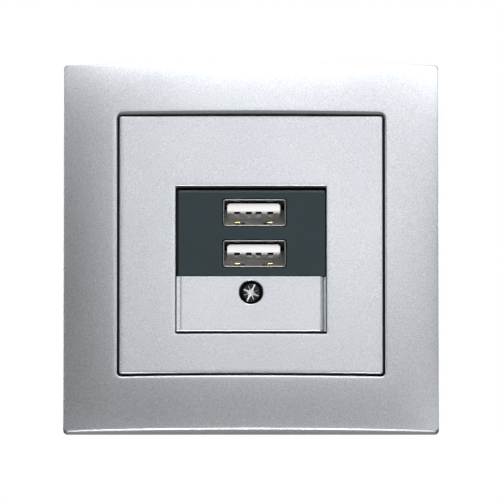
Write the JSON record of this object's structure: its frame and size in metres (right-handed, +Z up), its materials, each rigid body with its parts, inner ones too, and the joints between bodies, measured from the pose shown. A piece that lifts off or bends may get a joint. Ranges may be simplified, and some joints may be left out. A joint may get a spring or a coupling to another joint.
{
  "type": "flush mounted double usb charging outlet",
  "caption": "Flush wall outlet with stacked USB-A charging sockets, arched silver cover frame, square centre plate, claw-mount support ring and built-in mains adapter.",
  "frame": {"origin": "middle of the pair of slotted box screw holes, on the wall face", "axes": "+Z up, front of the outlet towards -Y, +X to the right of a viewer facing the front"},
  "size_m": [0.0784, 0.0354, 0.0784],
  "materials": {
    "silver_paint": "satin metallic paint on moulded plastic, fine flake",
    "anthracite_plastic": "fine matt moulded plastic",
    "black_plastic": "matt moulded plastic",
    "zinc_steel": "zinc plated stamped steel",
    "screw_steel": "blackened steel",
    "shell_steel": "bright nickel plated sheet",
    "white_plastic": "moulded white plastic",
    "socket_plastic": "grey moulded plastic",
    "gold_contact": "gold flashed spring contact",
    "brass": "turned or stamped brass",
    "board_green": "glass epoxy with green solder mask",
    "chip_black": "moulded epoxy package",
    "ferrite": "sintered ferrite, stood in for by cast iron",
    "winding_tape": "yellow polyester tape over copper",
    "can_sleeve": "shrunk sleeve over an aluminium can",
    "opto_white": "moulded white package",
    "fuse_brown": "moulded fuse cap",
    "varistor_blue": "dipped epoxy disc",
    "terminal_plastic": "moulded light grey plastic"
  },
  "bodies": {
    "insert": {"usb_bezel": "anthracite_plastic", "front_chassis": "black_plastic", "screw_bush": "brass", "support_ring": "zinc_steel", "rear_housing": "black_plastic", "housing_screws": "zinc_steel", "usb_shell_upper": "shell_steel", "usb_shell_lower": "shell_steel", "usb_tongue_upper": "white_plastic", "usb_tongue_lower": "white_plastic", "usb_contacts_upper": "gold_contact", "usb_contacts_lower": "gold_contact", "usb_insulator_upper": "socket_plastic", "usb_insulator_lower": "socket_plastic", "usb_springs_upper": "gold_contact", "usb_springs_lower": "gold_contact", "usb_board": "board_green", "main_board": "board_green", "board_pins": "gold_contact", "charge_controller": "chip_black", "transformer_core": "ferrite", "transformer_winding": "winding_tape", "input_capacitors": "can_sleeve", "output_capacitors": "can_sleeve", "bridge_rectifier": "chip_black", "switching_ic": "chip_black", "optocoupler": "opto_white", "fuse": "fuse_brown", "varistor": "varistor_blue", "input_choke": "ferrite", "terminal_block": "terminal_plastic", "contact_bars": "brass"},
    "frame": {"cover_frame": "silver_paint"},
    "plate": {"centre_plate": "silver_paint", "filler_insert": "silver_paint"},
    "cover_screw": {"cover_screw": "screw_steel"},
    "left_claw": {"left_claw": "zinc_steel"},
    "right_claw": {"right_claw": "zinc_steel"},
    "left_claw_screw": {"left_claw_screw": "zinc_steel"},
    "right_claw_screw": {"right_claw_screw": "zinc_steel"},
    "live_screw": {"live_screw": "zinc_steel"},
    "neutral_screw": {"neutral_screw": "zinc_steel"},
    "live_cage": {"live_cage": "brass"},
    "neutral_cage": {"neutral_cage": "brass"}
  },
  "joints": [
    {"name": "frame_pull", "type": "slide", "parent": "insert", "child": "frame", "axis": [0, -1, 0], "range_m": [0, 0.03]},
    {"name": "plate_pull", "type": "slide", "parent": "frame", "child": "plate", "axis": [0, -1, 0], "range_m": [0, 0.03]},
    {"name": "cover_screw_turn", "type": "hinge", "parent": "plate", "child": "cover_screw", "pos_m": [0, -0.004, -0.01], "axis": [0, -1, 0], "continuous": true},
    {"name": "left_claw_swing", "type": "hinge", "parent": "insert", "child": "left_claw", "pos_m": [-0.0206, 0.004, 0], "axis": [0, 0, 1], "range_deg": [0, 18]},
    {"name": "right_claw_swing", "type": "hinge", "parent": "insert", "child": "right_claw", "pos_m": [0.0206, 0.004, 0], "axis": [0, 0, -1], "range_deg": [0, 18]},
    {"name": "left_claw_screw_turn", "type": "hinge", "parent": "left_claw", "child": "left_claw_screw", "pos_m": [-0.0236, 0, 0], "axis": [0, 1, 0], "range_deg": [0, 1080]},
    {"name": "right_claw_screw_turn", "type": "hinge", "parent": "right_claw", "child": "right_claw_screw", "pos_m": [0.0236, 0, 0], "axis": [0, 1, 0], "range_deg": [0, 1080]},
    {"name": "live_screw_turn", "type": "hinge", "parent": "insert", "child": "live_screw", "pos_m": [-0.0045, 0.025, -0.0157], "axis": [0, -1, 0], "range_deg": [0, 1200]},
    {"name": "neutral_screw_turn", "type": "hinge", "parent": "insert", "child": "neutral_screw", "pos_m": [0.0045, 0.025, -0.0157], "axis": [0, -1, 0], "range_deg": [0, 1200]},
    {"name": "live_cage_slide", "type": "slide", "parent": "insert", "child": "live_cage", "axis": [0, 1, 0], "range_m": [0, 0.0015]},
    {"name": "neutral_cage_slide", "type": "slide", "parent": "insert", "child": "neutral_cage", "axis": [0, 1, 0], "range_m": [0, 0.0015]}
  ],
  "couplings": [
    {"joint": "left_claw_screw_turn", "follows": "left_claw_swing", "ratio": 60},
    {"joint": "right_claw_screw_turn", "follows": "right_claw_swing", "ratio": 60},
    {"joint": "live_screw_turn", "follows": "live_cage_slide", "rad_per_m": 13963},
    {"joint": "neutral_screw_turn", "follows": "neutral_cage_slide", "rad_per_m": 13963}
  ]
}
